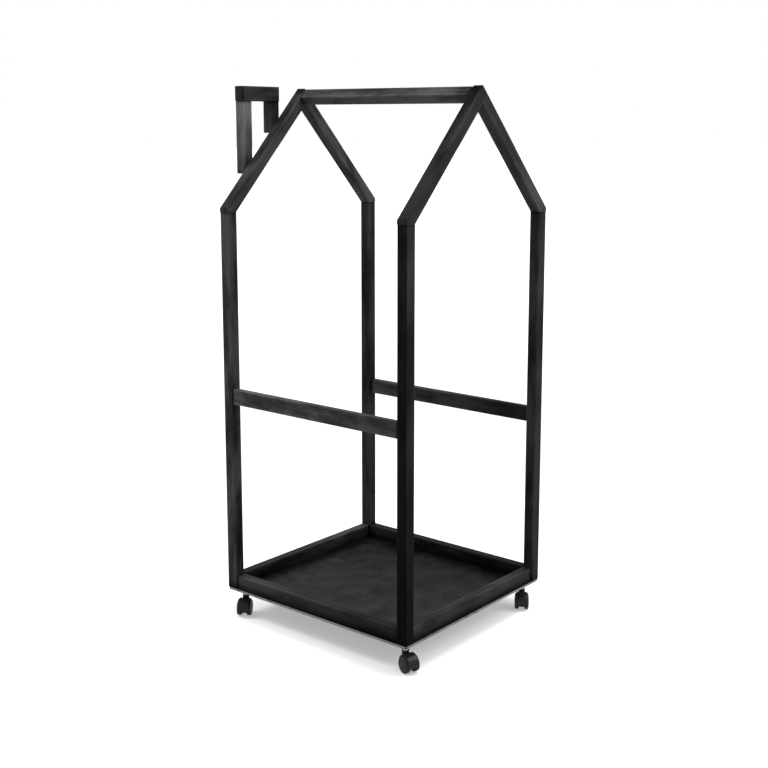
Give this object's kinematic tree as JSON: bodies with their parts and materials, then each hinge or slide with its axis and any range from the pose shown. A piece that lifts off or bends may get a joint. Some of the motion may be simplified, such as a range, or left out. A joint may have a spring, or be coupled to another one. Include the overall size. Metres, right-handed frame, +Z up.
{
  "type": "firewood rack",
  "caption": "Open house-shaped firewood rack on castors: square battens, tray base, mid rails, ridge beam and a small open chimney on the back gable.",
  "frame": {"origin": "middle of the whole rack's box on the floor, so the castor wheels stand on z = 0", "axes": "+Z up, the open front gable faces -Y, the ridge beam runs along Y, +X is to the right when looking in from the front; the chimney is at the back on the -X side"},
  "size_m": [0.5826, 0.6508, 1.3843],
  "materials": {
    "stained_wood": "satin",
    "base_board": "satin",
    "raw_wood": "matte",
    "zinc": "satin",
    "castor_plastic": "satin"
  },
  "bodies": {
    "rack": {"post_front_left": "stained_wood", "post_front_right": "stained_wood", "post_rear_left": "stained_wood", "post_rear_right": "stained_wood", "rafter_front_left": "stained_wood", "rafter_front_right": "stained_wood", "rafter_rear_left": "stained_wood", "rafter_rear_right": "stained_wood", "ridge_beam": "stained_wood", "rail_left": "stained_wood", "rail_right": "stained_wood", "board_front": "stained_wood", "board_rear": "stained_wood", "board_left": "stained_wood", "board_right": "stained_wood", "base_panel": "base_board", "chimney_post_outer": "stained_wood", "chimney_post_inner": "stained_wood", "chimney_cap": "stained_wood", "wood_dowels": "raw_wood", "panel_screws": "zinc", "castor_screws": "zinc", "castor_fl_plate": "zinc", "castor_fr_plate": "zinc", "castor_rl_plate": "zinc", "castor_rr_plate": "zinc"},
    "castor_fl_swivel": {"castor_fl_hood": "castor_plastic", "castor_fl_axle": "zinc"},
    "castor_fl_left_wheel": {"castor_fl_wheel_left": "castor_plastic"},
    "castor_fl_right_wheel": {"castor_fl_wheel_right": "castor_plastic"},
    "castor_fr_swivel": {"castor_fr_hood": "castor_plastic", "castor_fr_axle": "zinc"},
    "castor_fr_left_wheel": {"castor_fr_wheel_left": "castor_plastic"},
    "castor_fr_right_wheel": {"castor_fr_wheel_right": "castor_plastic"},
    "castor_rl_swivel": {"castor_rl_hood": "castor_plastic", "castor_rl_axle": "zinc"},
    "castor_rl_left_wheel": {"castor_rl_wheel_left": "castor_plastic"},
    "castor_rl_right_wheel": {"castor_rl_wheel_right": "castor_plastic"},
    "castor_rr_swivel": {"castor_rr_hood": "castor_plastic", "castor_rr_axle": "zinc"},
    "castor_rr_left_wheel": {"castor_rr_wheel_left": "castor_plastic"},
    "castor_rr_right_wheel": {"castor_rr_wheel_right": "castor_plastic"}
  },
  "joints": [
    {"name": "castor_fl_swivel_joint", "type": "hinge", "parent": "rack", "child": "castor_fl_swivel", "pos_m": [-0.25, -0.28264, 0.07], "axis": [0, 0, 1], "continuous": true},
    {"name": "castor_fl_left_spin", "type": "hinge", "parent": "castor_fl_swivel", "child": "castor_fl_left_wheel", "pos_m": [-0.25521, -0.29776, 0.021], "axis": [0.9455, -0.3256, 0], "continuous": true},
    {"name": "castor_fl_right_spin", "type": "hinge", "parent": "castor_fl_swivel", "child": "castor_fl_right_wheel", "pos_m": [-0.25521, -0.29776, 0.021], "axis": [0.9455, -0.3256, 0], "continuous": true},
    {"name": "castor_fr_swivel_joint", "type": "hinge", "parent": "rack", "child": "castor_fr_swivel", "pos_m": [0.25, -0.28264, 0.07], "axis": [0, 0, 1], "continuous": true},
    {"name": "castor_fr_left_spin", "type": "hinge", "parent": "castor_fr_swivel", "child": "castor_fr_left_wheel", "pos_m": [0.23689, -0.29181, 0.021], "axis": [0.5736, -0.8192, 0], "continuous": true},
    {"name": "castor_fr_right_spin", "type": "hinge", "parent": "castor_fr_swivel", "child": "castor_fr_right_wheel", "pos_m": [0.23689, -0.29181, 0.021], "axis": [0.5736, -0.8192, 0], "continuous": true},
    {"name": "castor_rl_swivel_joint", "type": "hinge", "parent": "rack", "child": "castor_rl_swivel", "pos_m": [-0.25, 0.26537, 0.07], "axis": [0, 0, 1], "continuous": true},
    {"name": "castor_rl_left_spin", "type": "hinge", "parent": "castor_rl_swivel", "child": "castor_rl_left_wheel", "pos_m": [-0.26327, 0.25642, 0.021], "axis": [0.5592, -0.829, 0], "continuous": true},
    {"name": "castor_rl_right_spin", "type": "hinge", "parent": "castor_rl_swivel", "child": "castor_rl_right_wheel", "pos_m": [-0.26327, 0.25642, 0.021], "axis": [0.5592, -0.829, 0], "continuous": true},
    {"name": "castor_rr_swivel_joint", "type": "hinge", "parent": "rack", "child": "castor_rr_swivel", "pos_m": [0.25, 0.26537, 0.07], "axis": [0, 0, 1], "continuous": true},
    {"name": "castor_rr_left_spin", "type": "hinge", "parent": "castor_rr_swivel", "child": "castor_rr_left_wheel", "pos_m": [0.26327, 0.25642, 0.021], "axis": [0.5592, 0.829, 0], "continuous": true},
    {"name": "castor_rr_right_spin", "type": "hinge", "parent": "castor_rr_swivel", "child": "castor_rr_right_wheel", "pos_m": [0.26327, 0.25642, 0.021], "axis": [0.5592, 0.829, 0], "continuous": true}
  ]
}
